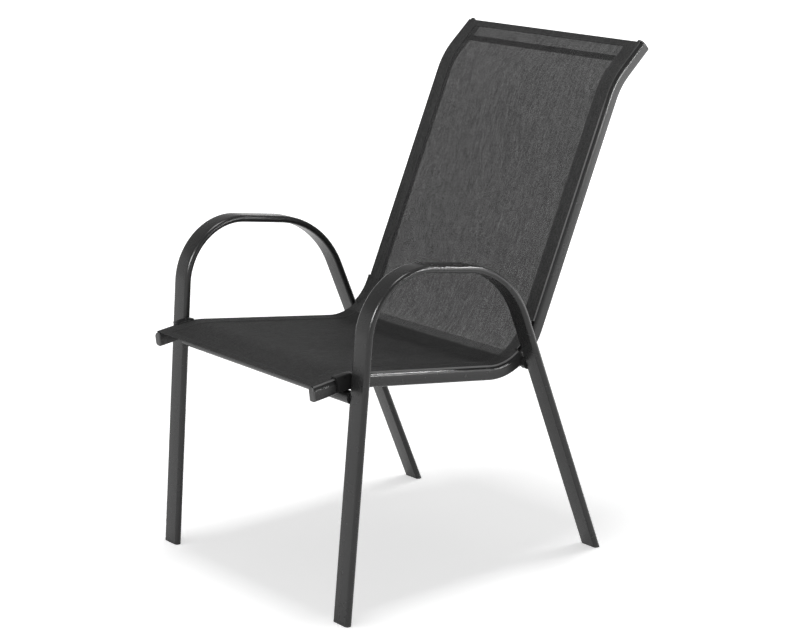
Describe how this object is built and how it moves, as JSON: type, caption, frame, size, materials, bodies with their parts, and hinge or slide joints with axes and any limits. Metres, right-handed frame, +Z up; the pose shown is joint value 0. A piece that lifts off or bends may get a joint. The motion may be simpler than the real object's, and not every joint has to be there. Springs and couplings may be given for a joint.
{
  "type": "stacking sling patio chair",
  "caption": "Stacking patio armchair with bent flat-oval tube side frames, slotted rails and a one-piece mesh sling for seat and back.",
  "frame": {"origin": "on the floor, in the middle of the chair's width and depth", "axes": "+Z up, -Y towards the front of the seat, +X towards the sitter's left"},
  "size_m": [0.5818, 0.786, 0.9452],
  "materials": {
    "powder_coated_steel": "satin anthracite powder coat",
    "mesh_fabric": "woven black and grey coated mesh, matt",
    "saddle_plastic": "black, glossy",
    "cap_plastic": "anthracite, satin",
    "foot_plastic": "black, matt",
    "spline_plastic": "black, matt"
  },
  "bodies": {
    "root": {"left_side_frame": "powder_coated_steel", "right_side_frame": "powder_coated_steel", "left_rail": "powder_coated_steel", "right_rail": "powder_coated_steel", "front_crossbar": "powder_coated_steel", "rear_crossbar": "powder_coated_steel", "top_crossbar": "powder_coated_steel", "left_rear_spacer": "powder_coated_steel", "right_rear_spacer": "powder_coated_steel", "sling": "mesh_fabric", "left_seat_spline": "spline_plastic", "right_seat_spline": "spline_plastic", "left_back_spline": "spline_plastic", "right_back_spline": "spline_plastic", "left_stacking_saddle": "saddle_plastic", "right_stacking_saddle": "saddle_plastic", "left_rail_front_cap": "cap_plastic", "right_rail_front_cap": "cap_plastic", "left_rail_top_cap": "cap_plastic", "right_rail_top_cap": "cap_plastic", "left_front_foot_plug": "foot_plastic", "right_front_foot_plug": "foot_plastic", "left_rear_foot_plug": "foot_plastic", "right_rear_foot_plug": "foot_plastic"}
  },
  "joints": []
}
